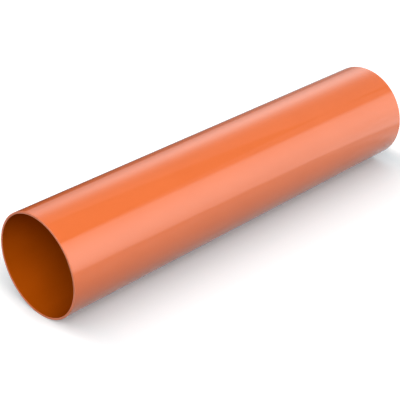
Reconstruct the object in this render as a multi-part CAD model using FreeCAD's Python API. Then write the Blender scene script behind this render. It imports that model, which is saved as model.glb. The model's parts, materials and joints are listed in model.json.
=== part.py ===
"""Rainwater downpipe in rigid PVC: one extruded tube with both ends cut square.

A downpipe is bought as a plain length of tube. It is extruded in one piece, sawn
square at both ends, and its four sawn edges are broken so that they neither cut a
hand nor catch on the seal of a socket. There is no socket on either end: couplers,
elbows and gutter outlets push over the outside or into the bore, and wall clips
close round the outside anywhere along it.

Frame: the pipe lies on a level floor with its axis along X. +Z is up, and the origin
is on the floor under the middle of the pipe. All sizes are in millimetres.
"""

import FreeCAD
import Part
import os

# Sizes that the maker sets, each by itself.
OUTER_DIAMETER = 110.0  # the nominal size, which sockets and clips are made to
WALL_THICKNESS = 2.2  # thin-walled rainwater and waste series
LENGTH = 500.0  # half-metre stock length, measured over the sawn ends
OUTER_EDGE_BREAK = 0.5  # 45 degree chamfer outside, so that the end enters a seal
INNER_EDGE_BREAK = 0.3  # 45 degree chamfer inside, left by the deburring knife

PARTS_FOLDER = "parts"
FULL_TURN = 360.0  # degrees


def wall_section(outer_radius, inner_radius, length, outer_break, inner_break):
    """The cut through one side of the wall, as a face in the XZ plane about Z = 0.

    It is the long thin rectangle between the bore and the outside, with its four
    corners taken off by the edge breaks.
    """
    half = length / 2
    corners = [
        (-half, inner_radius + inner_break),
        (-half, outer_radius - outer_break),
        (-half + outer_break, outer_radius),
        (half - outer_break, outer_radius),
        (half, outer_radius - outer_break),
        (half, inner_radius + inner_break),
        (half - inner_break, inner_radius),
        (-half + inner_break, inner_radius),
    ]
    points = [FreeCAD.Vector(x, 0, z) for x, z in corners]
    return Part.Face(Part.makePolygon(points + points[:1]))


def make_pipe():
    """The whole pipe: the wall's section turned once about the axis, laid on the floor."""
    outer_radius = OUTER_DIAMETER / 2
    inner_radius = outer_radius - WALL_THICKNESS
    section = wall_section(
        outer_radius, inner_radius, LENGTH, OUTER_EDGE_BREAK, INNER_EDGE_BREAK
    )
    axis_point = FreeCAD.Vector(0, 0, 0)
    along_pipe = FreeCAD.Vector(1, 0, 0)
    pipe = section.revolve(axis_point, along_pipe, FULL_TURN)
    pipe.translate(FreeCAD.Vector(0, 0, outer_radius))
    return pipe


def main():
    os.makedirs(PARTS_FOLDER, exist_ok=True)
    pipe = make_pipe()
    pipe.exportStep(os.path.join(PARTS_FOLDER, "pipe.step"))
    print(f"pipe: {pipe.ShapeType}, valid {pipe.isValid()}, {pipe.Volume / 1000:.1f} cm3")


main()
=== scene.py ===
# %% [markdown]
# # A length of orange PVC downpipe
#
# The object is one plain tube of rigid PVC. It was pushed hot through a ring-shaped die,
# cooled, and sawn square at both ends. It lies on its side on a pale floor.
#
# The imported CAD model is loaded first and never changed. It fixes where the tube lies and
# how big it is, and everything below is measured from it.

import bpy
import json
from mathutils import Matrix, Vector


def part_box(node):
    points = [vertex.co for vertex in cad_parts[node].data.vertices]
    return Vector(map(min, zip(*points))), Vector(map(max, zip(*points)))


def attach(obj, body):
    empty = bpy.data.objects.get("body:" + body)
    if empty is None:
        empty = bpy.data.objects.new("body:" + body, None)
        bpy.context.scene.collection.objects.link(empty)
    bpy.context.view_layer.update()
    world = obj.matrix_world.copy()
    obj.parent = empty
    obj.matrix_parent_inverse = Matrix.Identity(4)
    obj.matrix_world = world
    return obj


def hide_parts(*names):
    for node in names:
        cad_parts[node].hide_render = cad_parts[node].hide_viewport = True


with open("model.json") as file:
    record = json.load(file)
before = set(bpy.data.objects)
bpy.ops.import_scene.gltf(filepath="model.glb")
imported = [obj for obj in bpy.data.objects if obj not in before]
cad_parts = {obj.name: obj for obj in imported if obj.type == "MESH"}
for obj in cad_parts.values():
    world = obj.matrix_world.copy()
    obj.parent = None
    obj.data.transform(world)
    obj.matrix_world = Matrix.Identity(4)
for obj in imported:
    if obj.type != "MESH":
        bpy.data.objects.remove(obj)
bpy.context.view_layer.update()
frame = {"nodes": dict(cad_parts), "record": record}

# %% [markdown]
# ## What the lesson uses
#
# Blender's own module makes the meshes, materials and lamps. numpy gives evenly spaced
# numbers, and mathutils is Blender's small library of vectors and matrices. Nothing else is
# needed, because the tube is drawn point by point.

# %% Import what the rest of the lesson uses
import json
import math

import bpy
import numpy as np
from mathutils import Matrix, Vector

scene = bpy.context.scene
print("pieces in the frame:", list(frame["nodes"]))

# %% [markdown]
# ## The tube's own sizes
#
# The outside diameter and the length come from the CAD node's box. The bore and the two
# edge breaks can't be seen in a box, so they come from the record's mounts, which name the
# parts of the tube that a fitting touches. No size is typed in a second time, so the tube
# stays right if the CAD model changes.

# %% Read the tube's sizes from the frame
MM = 0.001

pipe_low, pipe_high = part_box("pipe")
pipe_centre = (pipe_low + pipe_high) / 2
pipe_length = pipe_high.x - pipe_low.x
outer_radius = (pipe_high.z - pipe_low.z) / 2

mounts = {mount["name"]: mount["dims"] for mount in frame["record"]["mounts"]}
bore_radius = mounts["bore"]["r_mm"] * MM
outer_break = (pipe_length - mounts["spigot_end_a"]["length_mm"] * MM) / 2
inner_break = (pipe_length - mounts["bore"]["length_mm"] * MM) / 2
print(f"length {pipe_length / MM:.1f} mm, outside radius {outer_radius / MM:.1f} mm")
print(f"bore radius {bore_radius / MM:.1f} mm")
print(f"edge breaks {outer_break / MM:.2f} mm outside and {inner_break / MM:.2f} mm inside")

# %% [markdown]
# ## Which way is which
#
# The camera and the lamps stand around the tube. It is easier to think of each as "so many
# degrees round, so many degrees up" than as three coordinates, so one small function turns
# the two angles into a direction.


# %% Directions by azimuth and elevation
def direction(azimuth, elevation):
    """The unit vector for two angles in degrees: azimuth 0 is in front, on -Y, 90 is on +X."""
    round_about = math.radians(azimuth)
    upwards = math.radians(elevation)
    return Vector((
        math.sin(round_about) * math.cos(upwards),
        -math.cos(round_about) * math.cos(upwards),
        math.sin(upwards),
    ))


print("straight in front is", [round(value, 3) for value in direction(0, 0)])

# %% [markdown]
# ## The camera
#
# The tube is seen from in front of one end and from above, so that its side, its rim and a
# little of its bore all show. The camera could be dragged into place by hand, but a script
# has to find the same place each time. So it stands at two angles and a distance from a
# point near the tube's middle. A long lens keeps the tube's two edges nearly parallel.

# %% Place the camera
CAMERA_AZIMUTH = -45.609
CAMERA_ELEVATION = 28.467
CAMERA_DISTANCE = 1.23139
CAMERA_LENS = 104.276
AIM_FROM_CENTRE = Vector((-0.03106, 0.0, -0.01393))

towards_viewer = direction(CAMERA_AZIMUTH, CAMERA_ELEVATION)
camera_data = bpy.data.cameras.new("studio_camera")
camera_data.lens = CAMERA_LENS
camera_data.sensor_width = 36.0
camera_data.clip_end = 50.0
camera = bpy.data.objects.new("studio_camera", camera_data)
scene.collection.objects.link(camera)
camera.location = pipe_centre + AIM_FROM_CENTRE + CAMERA_DISTANCE * towards_viewer
camera.rotation_euler = (-towards_viewer).to_track_quat("-Z", "Y").to_euler()
scene.camera = camera
print("camera at", [round(value, 3) for value in camera.location])

# %% [markdown]
# ## The sawn edges
#
# A saw leaves a sharp edge inside and outside, and a deburring knife takes it off. The CAD
# model has a flat chamfer there. A knife's cut is never quite flat, and a rounded edge
# catches the light as a thin bright line, so here each edge is a quarter of a small circle.
# It starts and ends where the chamfer does, so no size changes. A bevel modifier could make
# the same shape, but points drawn one by one keep the two edges' sizes apart.

# %% A quarter circle of points
STEPS_ROUND_EDGE = 5


def broken_edge(centre_x, centre_radius, size, start, end):
    """Points round an edge. The angles are in degrees, from straight outwards towards +X."""
    points = []
    for turn in np.radians(np.linspace(start, end, STEPS_ROUND_EDGE + 1)):
        x = centre_x + size * math.sin(turn)
        radius = centre_radius + size * math.cos(turn)
        points.append((x, radius))
    return points


print(STEPS_ROUND_EDGE, "steps round each edge")

# %% [markdown]
# ## The long straight wall
#
# The wall is straight from end to end, so two rings of points would describe it. More rings
# give each face a sensible shape. Two more rings close to each end matter most: smooth
# shading blends the directions of neighbouring faces, and without them the rounding of the
# edge would bleed a long way up the flat wall.

# %% Rings along the wall
RINGS_ALONG_WALL = 56
CLOSE_RINGS = [0.0, 0.15 * MM, 1.0 * MM]


def rings_between(start, end):
    """Places along the wall: even ones, with two more close to each end."""
    onward = math.copysign(1.0, end - start)
    first = [start + onward * step for step in CLOSE_RINGS]
    last = [end - onward * step for step in reversed(CLOSE_RINGS)]
    between = np.linspace(first[-1], last[0], RINGS_ALONG_WALL + 1)[1:-1]
    return [*first, *between, *last]


print(len(rings_between(0.0, pipe_length)), "rings from end to end")

# %% [markdown]
# ## The wall's section
#
# A tube could be a cylinder with a hole cut through it, but the cut leaves long thin
# triangles that shade badly. Here the section through one side of the wall is drawn as a
# closed line of points, and turned about the axis, which is how a lathe would see it. Each
# point also says which finish starts there: the glossy skin, the sawn rim, or the bore.

# %% Draw the wall's section
STEPS_ACROSS_RIM = 4
SKIN = 0
RIM = 1
BORE = 2


def wall_section():
    """The section as a list of (x, radius, finish), once round the wall."""
    half = pipe_length / 2
    outer_x = half - outer_break
    inner_x = half - inner_break
    outer_edge = outer_radius - outer_break
    inner_edge = bore_radius + inner_break
    rim = np.linspace(outer_edge, inner_edge, STEPS_ACROSS_RIM + 1)
    skin = [(x, outer_radius) for x in rings_between(-outer_x, outer_x)]
    bore = [(x, bore_radius) for x in rings_between(inner_x, -inner_x)]
    far_rim = [
        *broken_edge(outer_x, outer_edge, outer_break, 0, 90)[:-1],
        *[(half, radius) for radius in rim[:-1]],
        *broken_edge(inner_x, inner_edge, inner_break, 90, 180)[:-1],
    ]
    near_rim = [
        *broken_edge(-inner_x, inner_edge, inner_break, 180, 270)[:-1],
        *[(-half, radius) for radius in rim[:0:-1]],
        *broken_edge(-outer_x, outer_edge, outer_break, 270, 360)[:-1],
    ]
    stretches = [(skin[:-1], SKIN), (far_rim, RIM), (bore[:-1], BORE), (near_rim, RIM)]
    return [(x, radius, finish) for points, finish in stretches for x, radius in points]


section = wall_section()
print(len(section), "points in the section")

# %% [markdown]
# ## Turning the section
#
# Blender's screw modifier would turn the section as well. Making the rings in mesh code
# takes a few more lines, but it gives every face its finish at once, and it closes the
# mesh exactly, with no doubled points to merge. 360 steps round the tube are enough for its
# outline to look like a true circle close up.

# %% Turn the section about the axis
STEPS_ROUND_PIPE = 360


def turn_section(section):
    """A closed mesh: one ring of points for each point of the section."""
    turns = np.linspace(0, 2 * math.pi, STEPS_ROUND_PIPE, endpoint=False)
    points = []
    for x, radius, _ in section:
        for turn in turns:
            around_axis = Vector((x, radius * math.sin(turn), radius * math.cos(turn)))
            points.append(pipe_centre + around_axis)
    faces = []
    finishes = []
    for ring, (_, _, finish) in enumerate(section):
        this_ring = ring * STEPS_ROUND_PIPE
        next_ring = (ring + 1) % len(section) * STEPS_ROUND_PIPE
        for step in range(STEPS_ROUND_PIPE):
            onward = (step + 1) % STEPS_ROUND_PIPE
            faces.append((
                this_ring + step,
                this_ring + onward,
                next_ring + onward,
                next_ring + step,
            ))
            finishes.append(finish)
    mesh = bpy.data.meshes.new("downpipe_wall")
    mesh.from_pydata(points, [], faces)
    mesh.polygons.foreach_set("material_index", finishes)
    mesh.polygons.foreach_set("use_smooth", [True] * len(faces))
    mesh.update()
    return mesh


wall_mesh = turn_section(section)
print(len(wall_mesh.polygons), "faces")

# %% [markdown]
# ## Is it the right tube?
#
# The volume inside a closed mesh is a good test of it: a gap, or faces that look the wrong
# way, give a wrong or negative number. The wall of such a tube is its mean circumference
# times its thickness and length, which should come out almost the same.


# %% Measure the wall and make the object
CM3 = 1e-6


def volume_of(mesh):
    """The volume inside a closed mesh in cubic metres, above 0 if its faces look outwards."""
    total = 0.0
    for face in mesh.polygons:
        total += face.area * face.center.dot(face.normal) / 3
    return total


if volume_of(wall_mesh) < 0:
    wall_mesh.flip_normals()
downpipe = bpy.data.objects.new("downpipe_wall", wall_mesh)
scene.collection.objects.link(downpipe)
wall_volume = math.pi * (outer_radius ** 2 - bore_radius ** 2) * pipe_length
print(f"volume {volume_of(wall_mesh) / CM3:.1f} cm3, by formula {wall_volume / CM3:.1f} cm3")

# %% [markdown]
# ## Nodes in few words
#
# A material, a lamp's pattern and the floor's tint are all small trees of nodes. They could
# be wired by hand in the editor. In a script the wiring repeats itself, so four helpers
# keep it short: one adds a node, one fills a socket, one does a step of arithmetic, and one
# makes a ramp.


# %% Helpers for any node tree
def add_node(tree, kind, **settings):
    """A node with its own settings, such as operation, set by name."""
    node = tree.nodes.new(kind)
    for name, value in settings.items():
        setattr(node, name, value)
    return node


def fill(tree, socket, value):
    """Types a number or a colour into a socket, or links another node's output to it."""
    if isinstance(value, (int, float, tuple)):
        socket.default_value = value
    else:
        tree.links.new(value, socket)


def calculate(tree, operation, *values):
    """One step of arithmetic on one or two numbers or outputs."""
    node = add_node(tree, "ShaderNodeMath", operation=operation)
    for socket, value in zip(node.inputs, values):
        fill(tree, socket, value)
    return node.outputs["Value"]


def ramp(tree, value, start, end, first=0.0, last=1.0, soft=True):
    """first where value is start or less, last where it is end or more, between in between."""
    kind = "SMOOTHSTEP" if soft else "LINEAR"
    node = add_node(tree, "ShaderNodeMapRange", interpolation_type=kind)
    node.inputs["From Min"].default_value = start
    node.inputs["From Max"].default_value = end
    node.inputs["To Min"].default_value = first
    node.inputs["To Max"].default_value = last
    fill(tree, node.inputs["Value"], value)
    return node.outputs["Result"]


print("helpers for nodes: add_node, fill, calculate, ramp")

# %% [markdown]
# ## What PVC looks like
#
# Rigid PVC has its pigment all through it, so the skin, the rim and the bore share one
# orange. What differs is the surface, and real surfaces vary a little from place to place.
# Image textures could show that, but they blur close up and need unwrapping. Noise in the
# tube's own coordinates is sharp at any distance, and stretching it along X makes it follow
# the direction in which the tube left the die. The mix node holds sockets for numbers,
# vectors and colours in one list, so the places of the colour ones are named.


# %% Helpers for PVC
NOISE_LOW = 0.3
NOISE_HIGH = 0.7
MIX_FACTOR = 0
MIX_FIRST = 6
MIX_SECOND = 7
MIX_RESULT = 2


def grain(tree, scale, detail=2.0):
    """Noise laid over the tube, with its scale along each axis in features a metre."""
    coordinates = add_node(tree, "ShaderNodeTexCoord")
    mapping = add_node(tree, "ShaderNodeMapping")
    mapping.inputs["Scale"].default_value = scale
    noise = add_node(tree, "ShaderNodeTexNoise")
    noise.inputs["Scale"].default_value = 1.0
    noise.inputs["Detail"].default_value = detail
    fill(tree, mapping.inputs["Vector"], coordinates.outputs["Object"])
    fill(tree, noise.inputs["Vector"], mapping.outputs["Vector"])
    return noise.outputs["Fac"]


def spread(tree, noise, low, high):
    """Stretches noise, which mostly keeps to its middle range, over low to high."""
    return ramp(tree, noise, NOISE_LOW, NOISE_HIGH, low, high, soft=False)


def blend_colours(tree, factor, first, second):
    """A colour from first, where factor is 0, to second, where it is 1."""
    mix = add_node(tree, "ShaderNodeMix", data_type="RGBA")
    fill(tree, mix.inputs[MIX_FACTOR], factor)
    fill(tree, mix.inputs[MIX_FIRST], first)
    fill(tree, mix.inputs[MIX_SECOND], second)
    return mix.outputs[MIX_RESULT]


def relief(tree, noise, depth, below=None):
    """Bumps of a depth in metres, laid over other relief if there is any."""
    node = add_node(tree, "ShaderNodeBump")
    node.inputs["Strength"].default_value = 1.0
    node.inputs["Distance"].default_value = depth
    fill(tree, node.inputs["Height"], noise)
    if below is not None:
        fill(tree, node.inputs["Normal"], below)
    return node.outputs["Normal"]


print("helpers for PVC: grain, spread, blend_colours, relief")

# %% [markdown]
# ## One way to build each finish
#
# All three finishes have the same plan: two oranges that a faint mottle mixes, a roughness
# that varies between two values, and relief. One function holds the plan, so that each
# finish below is only its own numbers. PVC bends light as most clear plastics do, and its
# gloss is a clear film over the pigment, which the principled shader already models.

# %% Start a PVC finish
PVC_BENDS_LIGHT = 1.5
MOTTLE_DETAIL = 3.0
ROUGHNESS_DETAIL = 4.0


def pvc_finish(name, gloss, mottle, oranges, rough_grain, roughness):
    """Adds a finish to the wall, and gives its tree and shader so that relief can be added."""
    material = bpy.data.materials.new(name)
    material.use_nodes = True
    tree = material.node_tree
    tree.nodes.clear()
    shader = add_node(tree, "ShaderNodeBsdfPrincipled")
    shader.inputs["IOR"].default_value = PVC_BENDS_LIGHT
    shader.inputs["Specular IOR Level"].default_value = gloss
    output = add_node(tree, "ShaderNodeOutputMaterial")
    fill(tree, output.inputs["Surface"], shader.outputs["BSDF"])

    clouds = spread(tree, grain(tree, mottle, MOTTLE_DETAIL), 0.0, 1.0)
    fill(tree, shader.inputs["Base Color"], blend_colours(tree, clouds, *oranges))
    patches = grain(tree, rough_grain, ROUGHNESS_DETAIL)
    fill(tree, shader.inputs["Roughness"], spread(tree, patches, *roughness))
    wall_mesh.materials.append(material)
    return tree, shader


print("the light bends by", PVC_BENDS_LIGHT)

# %% [markdown]
# ## The glossy skin
#
# The outside of the tube slid through a polished steel ring and then a cooling sleeve, so
# it is the glossiest part, and lamps show in it with clear edges. Two kinds of relief are
# on it. Die lines are scratches of a few thousandths of a millimetre that run the whole
# length, so their noise is stretched 350 times along X. Orange peel is a shallow, even
# waviness from cooling. Both are so shallow that only a reflection shows them.

# %% Finish the skin
SKIN_ORANGES = ((0.845, 0.168, 0.036, 1.0), (0.870, 0.178, 0.041, 1.0))
SKIN_ROUGHNESS = (0.045, 0.075)
DIE_LINE_GRAIN = (1.2, 420.0, 420.0)
DIE_LINE_DEPTH = 0.004 * MM
ORANGE_PEEL_GRAIN = (90.0, 110.0, 110.0)
ORANGE_PEEL_DEPTH = 0.010 * MM

tree, shader = pvc_finish(
    "orange_pvc_skin",
    gloss=0.5,
    mottle=(14.0, 22.0, 22.0),
    oranges=SKIN_ORANGES,
    rough_grain=(9.0, 60.0, 60.0),
    roughness=SKIN_ROUGHNESS,
)
die_lines = relief(tree, grain(tree, DIE_LINE_GRAIN), DIE_LINE_DEPTH)
peel_noise = grain(tree, ORANGE_PEEL_GRAIN, detail=1.0)
orange_peel = relief(tree, peel_noise, ORANGE_PEEL_DEPTH, below=die_lines)
fill(tree, shader.inputs["Normal"], orange_peel)
print("skin roughness", SKIN_ROUGHNESS)

# %% [markdown]
# ## The sawn rim
#
# The saw tears the plastic slightly, and torn PVC is paler and duller than its skin. Its
# orange is lighter, its roughness far higher, and its relief is ten times as deep as the
# die lines. A saw blade crosses the rim in one direction, so the marks are fine across Y
# and long along Z.

# %% Finish the rim
RIM_ORANGES = ((0.84, 0.21, 0.08, 1.0), (0.88, 0.26, 0.12, 1.0))
RIM_ROUGHNESS = (0.38, 0.55)
SAW_MARK_GRAIN = (50.0, 1500.0, 90.0)
SAW_MARK_DEPTH = 0.04 * MM

tree, shader = pvc_finish(
    "orange_pvc_sawn_rim",
    gloss=0.5,
    mottle=(200.0, 500.0, 60.0),
    oranges=RIM_ORANGES,
    rough_grain=(200.0, 900.0, 90.0),
    roughness=RIM_ROUGHNESS,
)
saw_marks = relief(tree, grain(tree, SAW_MARK_GRAIN, detail=3.0), SAW_MARK_DEPTH)
fill(tree, shader.inputs["Normal"], saw_marks)
print("rim roughness", RIM_ROUGHNESS)

# %% [markdown]
# ## The bore
#
# The inside is drawn over the die's core and cools in still air, so it is duller than the
# skin. Light reaches the eye from it only after several bounces, and each bounce takes out
# more of the green and blue, so the bore looks a deep brown orange. A few bounces in a
# render aren't enough for that, so the bore's colour is darker than the skin's: that is
# painted shade, not a different plastic. Its gloss is off, because a glossy bore seen from
# its end mirrors the white room as a grey haze. The shallow lines along it come from the core.

# %% Finish the bore
# The bore's oranges are darker than the skin's: painted shade for the inside of the tube.
BORE_ORANGES_WITH_PAINTED_SHADE = ((0.50, 0.087, 0.001, 1.0), (0.535, 0.095, 0.002, 1.0))
BORE_ROUGHNESS = (0.50, 0.60)
BORE_LINE_GRAIN = (1.5, 300.0, 300.0)
BORE_LINE_DEPTH = 0.012 * MM

tree, shader = pvc_finish(
    "orange_pvc_bore",
    gloss=0.0,
    mottle=(12.0, 40.0, 40.0),
    oranges=BORE_ORANGES_WITH_PAINTED_SHADE,
    rough_grain=(9.0, 80.0, 80.0),
    roughness=BORE_ROUGHNESS,
)
bore_lines = relief(tree, grain(tree, BORE_LINE_GRAIN, detail=3.0), BORE_LINE_DEPTH)
fill(tree, shader.inputs["Normal"], bore_lines)
print("finishes on the wall:", [material.name for material in wall_mesh.materials])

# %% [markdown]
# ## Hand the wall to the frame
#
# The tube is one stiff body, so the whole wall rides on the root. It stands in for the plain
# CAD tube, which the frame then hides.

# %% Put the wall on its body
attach(downpipe, "root")
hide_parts("pipe")
print("the wall rides on root and replaces pipe")

# %% [markdown]
# ## The floor
#
# The tube lies on seamless white paper. One large square does for it, because the camera
# never sees its edge. It is only a stage.

# %% Lay the paper
FLOOR_REACH = 12.0

floor_corners = [
    (-FLOOR_REACH, -FLOOR_REACH, 0.0),
    (FLOOR_REACH, -FLOOR_REACH, 0.0),
    (FLOOR_REACH, FLOOR_REACH, 0.0),
    (-FLOOR_REACH, FLOOR_REACH, 0.0),
]
floor_mesh = bpy.data.meshes.new("studio_floor")
floor_mesh.from_pydata(floor_corners, [], [(0, 1, 2, 3)])
floor = bpy.data.objects.new("studio_floor", floor_mesh)
floor.location.z = pipe_low.z
scene.collection.objects.link(floor)
print("floor at height", round(floor.location.z, 4))

# %% [markdown]
# ## White paper that keeps a shadow
#
# Paper lit only by the lamps is grey, and more light would burn out the tube. So the paper
# glows a little where the camera or a glossy surface looks at it, which is what Light Path
# is for. The glow is weak close to the tube and rises to white away from it, so the soft
# shade round the tube is partly the lamps' own shadow and partly painted shade. Light that
# the paper throws back on the tube is dimmed, because bright paper on every side would wash
# the shade out from under it.


# %% Which rays look, and which only carry light
def rays_that_look(tree):
    """1 for the camera's rays and for reflections, 0 for the rays that carry light."""
    rays = add_node(tree, "ShaderNodeLightPath")
    mirrored = calculate(tree, "MAXIMUM", rays.outputs["Is Glossy Ray"],
                         rays.outputs["Is Transmission Ray"])
    return calculate(tree, "MAXIMUM", rays.outputs["Is Camera Ray"], mirrored)


def place_in_room(tree):
    """The position in the room, and its x, y and z."""
    place = add_node(tree, "ShaderNodeNewGeometry").outputs["Position"]
    split = add_node(tree, "ShaderNodeSeparateXYZ")
    fill(tree, split.inputs["Vector"], place)
    return place, *split.outputs


print("helpers for the stage: rays_that_look, place_in_room")

# %% [markdown]
# ## How far from the tube?
#
# The painted shade on the paper should follow the tube's long shape, not a circle. Beside
# the tube the distance is simply how far off the axis a place is. Past an end it has to grow
# quickly, because there is nothing there to cast shade, so a square of the distance past the
# end is added. The painted shade also lies a little towards the far end, because the
# strongest of the plain lamps stands at the near one.

# %% Distance from the tube on the floor
# These shape the painted shade, where the paper's glow is weaker beside the tube.
SHADE_SHIFT = 0.015
SHADE_STOPS_BEFORE_END = 0.02
SHADE_ENDS_QUICKLY = 80.0


def distance_from_tube(tree, x, y):
    """Metres from the tube's axis, growing with the square of the distance past an end."""
    from_middle = calculate(tree, "ABSOLUTE", calculate(tree, "SUBTRACT", x, SHADE_SHIFT))
    past_end = calculate(tree, "SUBTRACT", from_middle, pipe_length / 2 - SHADE_STOPS_BEFORE_END)
    past_end = calculate(tree, "MAXIMUM", past_end, 0.0)
    beyond = calculate(tree, "MULTIPLY", past_end, past_end)
    beyond = calculate(tree, "MULTIPLY", beyond, SHADE_ENDS_QUICKLY)
    sideways = calculate(tree, "MULTIPLY", y, y)
    squares = calculate(tree, "ADD", calculate(tree, "MULTIPLY", beyond, beyond), sideways)
    return calculate(tree, "SQRT", squares)


print("the shade stops", SHADE_STOPS_BEFORE_END, "m before each end")

# %% [markdown]
# ## The paper's finish
#
# Close to the tube the paper is tinted a little blue. The tint is painted: it cancels the
# pink that the orange light from the tube would give it, so that the shade there stays grey.
# Far off, where no lamp reaches, the glow alone has to make it white. Paper has no gloss at
# all, so its specular level is 0.

# %% Finish the paper
WHITE = (1.0, 1.0, 1.0, 1.0)
PAPER_WHITE = (0.90, 0.90, 0.90, 1.0)
# The paper's colour near the tube is a painted blue tint that cancels the orange light bounced
# from the tube.
PAPER_NEAR_TUBE_PAINTED_TINT = (0.82, 0.89, 0.92, 1.0)
PAPER_FOR_CARRIED_LIGHT = (0.05, 0.05, 0.05, 1.0)
PAPER_ROUGHNESS = 0.9
TINT_FADES = (0.04, 0.15)
# The glow is weaker near the tube, which paints shade on the paper round it.
GLOW_NEAR_TUBE = 0.09
GLOW_AWAY = 0.50
GLOW_RISES = (0.03, 0.20)
GLOW_ADDED_FAR_OFF = 0.50
FAR_OFF = (0.6, 2.0)

material = bpy.data.materials.new("studio_paper")
material.use_nodes = True
tree = material.node_tree
shader = tree.nodes["Principled BSDF"]
shader.inputs["Roughness"].default_value = PAPER_ROUGHNESS
shader.inputs["Specular IOR Level"].default_value = 0.0
shader.inputs["Emission Color"].default_value = WHITE

looking = rays_that_look(tree)
place, x, y, _ = place_in_room(tree)
off_tube = distance_from_tube(tree, x, y)
from_origin = add_node(tree, "ShaderNodeVectorMath", operation="LENGTH")
fill(tree, from_origin.inputs["Vector"], place)

# Less glow close to the tube: painted shade on the paper, added to the lamps' shadow.
glow_with_painted_shade = ramp(tree, off_tube, *GLOW_RISES, GLOW_NEAR_TUBE, GLOW_AWAY)
far_off = ramp(tree, from_origin.outputs["Value"], *FAR_OFF, 0.0, GLOW_ADDED_FAR_OFF)
glow = calculate(tree, "ADD", glow_with_painted_shade, far_off)
fill(tree, shader.inputs["Emission Strength"], calculate(tree, "MULTIPLY", glow, looking))

tint = blend_colours(tree, ramp(tree, off_tube, *TINT_FADES), PAPER_NEAR_TUBE_PAINTED_TINT, PAPER_WHITE)
paper = blend_colours(tree, looking, PAPER_FOR_CARRIED_LIGHT, tint)
fill(tree, shader.inputs["Base Color"], paper)
floor_mesh.materials.append(material)
print("the paper glows from", GLOW_NEAR_TUBE, "to", GLOW_AWAY + GLOW_ADDED_FAR_OFF)

# %% [markdown]
# ## The room
#
# The room is white wherever the camera or a reflection looks. As a light it is turned down
# to a faint fill, because light from every side at once would flatten the round tube. The
# view transform is set to Standard, so that a colour comes out as it is written.

# %% Light the room
ROOM_FILL = 0.12

world = bpy.data.worlds.new("studio_world")
world.use_nodes = True
scene.world = world
tree = world.node_tree
background = tree.nodes["Background"]
background.inputs["Color"].default_value = WHITE
room = ramp(tree, rays_that_look(tree), 0.0, 1.0, ROOM_FILL, 1.0, soft=False)
fill(tree, background.inputs["Strength"], room)
scene.view_settings.view_transform = "Standard"
print("room fill", ROOM_FILL)

# %% [markdown]
# ## Softboxes
#
# A studio softbox is a box with a lit cloth front, and an area lamp is just that. A glossy
# tube shows each cloth as a band with an edge, so where the boxes stand matters more here
# than how strong they are. A lamp's power means little by itself, because a bigger cloth
# spreads it out. So each box is given the brightness of its cloth, where 1 is white paper,
# and the power is worked out from its area.


# %% A softbox
def softbox(name, centre, facing, up, width, height, brightness):
    """A rectangular lamp that the camera doesn't see. Gives its node tree and its cloth."""
    lamp = bpy.data.lights.new(name, "AREA")
    lamp.shape = "RECTANGLE"
    lamp.size = width
    lamp.size_y = height
    lamp.energy = brightness * math.pi * width * height
    lamp.use_nodes = True
    holder = bpy.data.objects.new(name, lamp)
    scene.collection.objects.link(holder)
    back = -Vector(facing).normalized()
    side = Vector(up).cross(back).normalized()
    turn = Matrix((side, back.cross(side), back)).transposed().to_4x4()
    holder.matrix_world = Matrix.Translation(centre) @ turn
    holder.visible_camera = False
    cloth = next(node for node in lamp.node_tree.nodes if node.type == "EMISSION")
    print(f"{name}: {width} x {height} m, {lamp.energy:.1f} W")
    return lamp.node_tree, cloth


tube_top = pipe_centre + Vector((0.0, 0.0, outer_radius))
print("the boxes are placed from", [round(value, 3) for value in tube_top])

# %% [markdown]
# ## Three plain softboxes
#
# The overhead box lights the upper side. The front box gives the wall that the camera sees
# its colour, and the left box lifts the rim and the inside of the near end. None of the
# three is seen in the tube, because the camera's reflections point elsewhere, so they
# could as well be one large box. Three let each side have its own strength.

# %% Hang the three boxes
TO_PLAIN_BOX = 2.0
UPRIGHT = (0, 0, 1)
BACKWARDS = (0, 1, 0)
plain_boxes = [
    # name, where it hangs, which way its top points, width, height, brightness
    ("overhead_softbox", direction(0, 80), BACKWARDS, 1.8, 2.3, 1.0),
    ("front_softbox", direction(-42, 29), UPRIGHT, 1.5, 1.4, 3.5),
    ("left_softbox", direction(-92, 45), UPRIGHT, 1.4, 1.4, 1.0),
]

for name, towards_box, up, width, height, brightness in plain_boxes:
    centre = tube_top + TO_PLAIN_BOX * towards_box
    softbox(name, centre, -towards_box, up, width, height, brightness)

# %% [markdown]
# ## Patterns on a cloth
#
# A real cloth is brightest in front of its bulb and dims towards its frame. In Blender an
# area lamp's own nodes can do that: Geometry's Parametric output runs from 0 to 1 across
# the lamp and up it. Three helpers turn that into metres, into metres along a slope, and
# into a round glow.


# %% Helpers for a cloth's pattern
def place_on_cloth(tree, width, height):
    """Metres across and up from the middle of the cloth."""
    parametric = add_node(tree, "ShaderNodeNewGeometry").outputs["Parametric"]
    split = add_node(tree, "ShaderNodeSeparateXYZ")
    fill(tree, split.inputs["Vector"], parametric)
    across = calculate(tree, "SUBTRACT", split.outputs["X"], 0.5)
    upwards = calculate(tree, "SUBTRACT", split.outputs["Y"], 0.5)
    return calculate(tree, "MULTIPLY", across, width), calculate(tree, "MULTIPLY", upwards, height)


def along_slope(tree, across, upwards, degrees):
    """Metres along a line that rises over the cloth by so many degrees."""
    turn = math.radians(degrees)
    first = calculate(tree, "MULTIPLY", across, math.cos(turn))
    second = calculate(tree, "MULTIPLY", upwards, math.sin(turn))
    return calculate(tree, "ADD", first, second)


def round_glow(tree, across, upwards, middle, widths):
    """1 at the middle, fading outwards as a bell curve."""
    squares = []
    for value, centre, width in zip((across, upwards), middle, widths):
        away = calculate(tree, "DIVIDE", calculate(tree, "SUBTRACT", value, centre), width)
        squares.append(calculate(tree, "MULTIPLY", away, away))
    total = calculate(tree, "ADD", *squares)
    return calculate(tree, "EXPONENT", calculate(tree, "MULTIPLY", total, -1.0))


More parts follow.
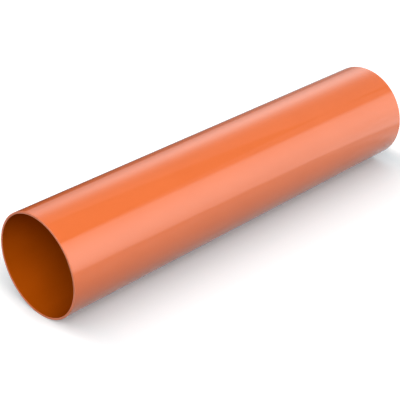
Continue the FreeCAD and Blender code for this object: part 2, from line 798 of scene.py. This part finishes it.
print("helpers for a cloth: place_on_cloth, along_slope, round_glow")

# %% [markdown]
# ## The glow behind the tube
#
# The pale line along the top of the tube is a wide, soft lamp behind it, seen at a grazing
# angle. It has no edge anywhere on the tube, so its cloth is larger than the glow on it,
# and the glow fades into the grey of the room's dim side. The glow is tilted a little,
# which makes the line brighten evenly from the near end to the far one.

# %% Hang the back glow
DIM_SIDE = 0.35
BEHIND = direction(130, 27)
TO_BACK_GLOW = 3.0
BACK_WIDTH, BACK_HEIGHT = 6.0, 3.6
BACK_BRIGHTNESS = 0.92
BACK_GLOW_TILT = 16
BACK_GLOW_WIDTHS = (1.371, 0.735)
BACK_GLOW_STRENGTH = 1.64

tree, cloth = softbox("back_glow", tube_top + TO_BACK_GLOW * BEHIND, -BEHIND, UPRIGHT,
                      BACK_WIDTH, BACK_HEIGHT, BACK_BRIGHTNESS)
across, upwards = place_on_cloth(tree, BACK_WIDTH, BACK_HEIGHT)
tilted_across = along_slope(tree, across, upwards, BACK_GLOW_TILT)
tilted_upwards = along_slope(tree, across, upwards, BACK_GLOW_TILT + 90)
glow = round_glow(tree, tilted_across, tilted_upwards, (0.0, 0.0), BACK_GLOW_WIDTHS)
pattern = ramp(tree, glow, 0.0, 1.0, DIM_SIDE, DIM_SIDE + BACK_GLOW_STRENGTH, soft=False)
fill(tree, cloth.inputs["Strength"], pattern)
print("the back glow is tilted by", BACK_GLOW_TILT, "degrees")

# %% [markdown]
# ## The band along the side
#
# The broad pale band along the tube is a tall softbox on the right. A straight tube mirrors
# a narrow strip of the room, and a box that fills just that strip gives a band from end to
# end without adding much light. The band has one crisp edge, on its upper side, and fades
# slowly along its length, so the cloth has a sloping edge and a glow that lies off it.

# %% Hang the side box
SIDE_TOWARDS = Vector((0.6913, -0.6913, 0.2104)).normalized()
SIDE_UP = Vector((0.0673, 0.3515, 0.9338)).normalized()
SIDE_CENTRE = tube_top + Vector((2.705, -2.691, 1.284))
SIDE_WIDTH, SIDE_HEIGHT = 2.3, 4.5
SIDE_BRIGHTNESS = 0.97
SIDE_EDGE_SLOPE = 52.9
SIDE_EDGE_FADES = (1.05, 1.60)
SIDE_GLOW_MIDDLE = (-2.22, -0.44)
SIDE_GLOW_WIDTHS = (4.05, 3.05)
SIDE_GLOW_STRENGTH = 3.98

tree, cloth = softbox("side_softbox", SIDE_CENTRE, -SIDE_TOWARDS, SIDE_UP,
                      SIDE_WIDTH, SIDE_HEIGHT, SIDE_BRIGHTNESS)
across, upwards = place_on_cloth(tree, SIDE_WIDTH, SIDE_HEIGHT)
sloping = along_slope(tree, across, upwards, SIDE_EDGE_SLOPE)
lit = ramp(tree, sloping, *SIDE_EDGE_FADES, 1.0, 0.0)
glow = round_glow(tree, across, upwards, SIDE_GLOW_MIDDLE, SIDE_GLOW_WIDTHS)
glow = calculate(tree, "MULTIPLY", glow, SIDE_GLOW_STRENGTH)
above_dim = calculate(tree, "SUBTRACT", glow, DIM_SIDE)
pattern = calculate(tree, "ADD", calculate(tree, "MULTIPLY", above_dim, lit), DIM_SIDE)
fill(tree, cloth.inputs["Strength"], pattern)
print("the side box's edge slopes by", SIDE_EDGE_SLOPE, "degrees")

# %% [markdown]
# ## Cards on the floor
#
# White cards are often laid on a studio floor to throw light back up. The front card gives
# the band its lower edge, and lights the underside. It is a lamp that faces up, and it lies
# a hair above the paper. The back card lights the underside of the side that faces away.

# %% Lay the cards
OUT_FROM_TUBE = Vector((0.839, -0.544, 0.0))
ALONG_CARD = Vector((-0.544, -0.839, 0.0))
CARD_LIFT = Vector((0.0, 0.0, 0.002))
CARD_OUT = 1.24
CARD_ALONG = 0.45
CARD_CENTRE = CARD_OUT * OUT_FROM_TUBE + CARD_ALONG * ALONG_CARD + CARD_LIFT
CARD_WIDTH, CARD_HEIGHT = 1.92, 1.5
CARD_BRIGHTNESS = 0.60
CARD_EDGE = (-0.90, -0.83)
CARD_BEFORE_EDGE = 0.25
CARD_PAST_EDGE = 2.1
BACK_CARD_CENTRE = Vector((0.0, 0.85, 0.0)) + CARD_LIFT
BACK_CARD_WIDTH, BACK_CARD_HEIGHT = 1.6, 1.0
BACK_CARD_BRIGHTNESS = 1.8

tree, cloth = softbox("front_card", CARD_CENTRE, UPRIGHT, ALONG_CARD,
                      CARD_WIDTH, CARD_HEIGHT, CARD_BRIGHTNESS)
across, upwards = place_on_cloth(tree, CARD_WIDTH, CARD_HEIGHT)
pattern = ramp(tree, across, *CARD_EDGE, CARD_BEFORE_EDGE, CARD_PAST_EDGE)
fill(tree, cloth.inputs["Strength"], pattern)
softbox("back_card", BACK_CARD_CENTRE, UPRIGHT, BACKWARDS,
        BACK_CARD_WIDTH, BACK_CARD_HEIGHT, BACK_CARD_BRIGHTNESS)

# %% [markdown]
# ## Cards that only a reflection sees
#
# Part of what makes plastic look glossy is the dark it mirrors. Black cards would also take
# light away and cast shadows, which isn't wanted. Each object in Blender can be hidden from
# one kind of ray and left for another, so these cards show in reflections and do nothing
# else.


# %% A card for reflections
HIDDEN_FROM = ("camera", "diffuse", "transmission", "volume_scatter", "shadow")


def reflection_card(name, points, faces):
    """A card that only glossy rays meet. Gives its tree, its emission and its output."""
    mesh = bpy.data.meshes.new(name)
    mesh.from_pydata(points, [], faces)
    card = bpy.data.objects.new(name, mesh)
    scene.collection.objects.link(card)
    for ray in HIDDEN_FROM:
        setattr(card, "visible_" + ray, False)
    material = bpy.data.materials.new(name)
    material.use_nodes = True
    tree = material.node_tree
    tree.nodes.clear()
    emission = add_node(tree, "ShaderNodeEmission")
    output = add_node(tree, "ShaderNodeOutputMaterial")
    mesh.materials.append(material)
    print(name, "with", len(faces), "faces")
    return tree, emission, output


print("a reflection card is hidden from", ", ".join(HIDDEN_FROM))

# %% [markdown]
# ## The dim side of the room
#
# To the right of the tube the room is dim, which is why the wall between the two pale bands
# shows its own clean orange. A curved wall goes round that side. It is far away, so that it
# looks the same from every part of the tube.

# %% Stand the dim wall
WALL_RADIUS = 7.0
WALL_HEIGHT = 18.0
WALL_PANELS = 16
WALL_STARTS = 12
WALL_ENDS = 162

wall_points = []
for azimuth in np.linspace(WALL_STARTS, WALL_ENDS, WALL_PANELS + 1):
    foot = WALL_RADIUS * direction(azimuth, 0)
    wall_points.append(foot)
    wall_points.append(foot + Vector((0.0, 0.0, WALL_HEIGHT)))
wall_faces = []
for corner in range(0, 2 * WALL_PANELS, 2):
    wall_faces.append((corner, corner + 2, corner + 3, corner + 1))
tree, emission, output = reflection_card("dim_wall", wall_points, wall_faces)
emission.inputs["Strength"].default_value = DIM_SIDE
fill(tree, output.inputs["Surface"], emission.outputs["Emission"])

# %% [markdown]
# ## The dark card behind
#
# Along its very top the tube ends in a thin dark line, which parts it from the white. It
# mirrors something low and dark behind the tube. A card stands there. It is black at the
# near end and grey at the far one, and its top edge fades out, so that the line has a soft
# lower side.

# %% Stand the dark card
DARK_CARD_Y = 0.20
DARK_CARD_LEFT = -0.6
DARK_CARD_RIGHT = 1.2
DARK_CARD_TOP = 0.24
GREY_STARTS = -0.22
GREY_ENDS = 0.78
GREY_AT_END = 0.60
TOP_FADES = (0.118, 0.150)

card_points = [
    (DARK_CARD_LEFT, DARK_CARD_Y, 0.0),
    (DARK_CARD_RIGHT, DARK_CARD_Y, 0.0),
    (DARK_CARD_RIGHT, DARK_CARD_Y, DARK_CARD_TOP),
    (DARK_CARD_LEFT, DARK_CARD_Y, DARK_CARD_TOP),
]
tree, emission, output = reflection_card("dark_card", card_points, [(0, 1, 2, 3)])
_, x, _, z = place_in_room(tree)
grey = ramp(tree, x, GREY_STARTS, GREY_ENDS, 0.0, GREY_AT_END, soft=False)
fill(tree, emission.inputs["Strength"], grey)
clear = add_node(tree, "ShaderNodeBsdfTransparent")
fading = add_node(tree, "ShaderNodeMixShader")
fade, card_side, clear_side = fading.inputs
fill(tree, fade, ramp(tree, z, *TOP_FADES))
fill(tree, card_side, emission.outputs["Emission"])
fill(tree, clear_side, clear.outputs["BSDF"])
fill(tree, output.inputs["Surface"], fading.outputs["Shader"])
